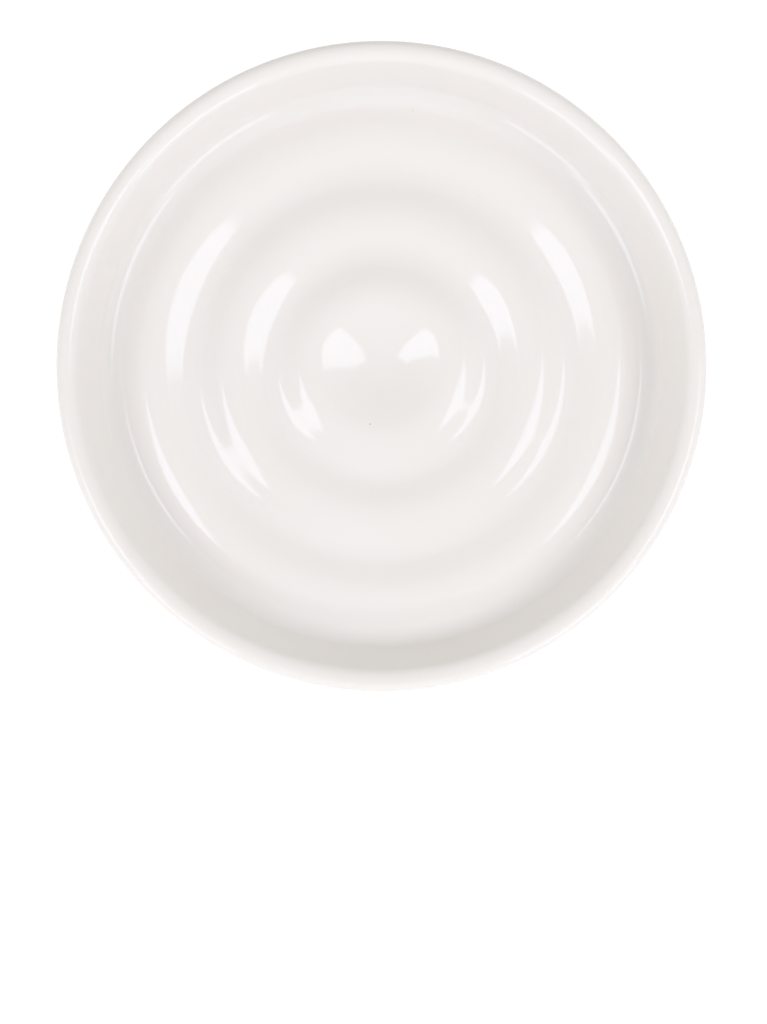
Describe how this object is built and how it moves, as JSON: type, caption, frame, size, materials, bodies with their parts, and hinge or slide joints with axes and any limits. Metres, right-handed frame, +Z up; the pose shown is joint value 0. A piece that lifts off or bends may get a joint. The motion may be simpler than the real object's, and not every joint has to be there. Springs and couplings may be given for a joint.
{
  "type": "tasting bowl",
  "caption": "Small round shallow porcelain bowl with flared walls, a rounded lip and concentric raised ripple rings on its floor, standing on a bare foot ring.",
  "frame": {"origin": "centre of the flat standing face under the foot ring", "axes": "+Z up along the bowl's turning axis; X and Y are alike, because the bowl is round"},
  "size_m": [0.12, 0.12, 0.025],
  "materials": {
    "bare_porcelain": "fired, unglazed, fine matt",
    "clear_glaze": "high gloss over warm white porcelain",
    "well_glaze": "gloss over warm white porcelain"
  },
  "bodies": {
    "root": {"porcelain_body": "bare_porcelain", "glaze_coat": "clear_glaze", "foot_well_glaze": "well_glaze"}
  },
  "joints": []
}
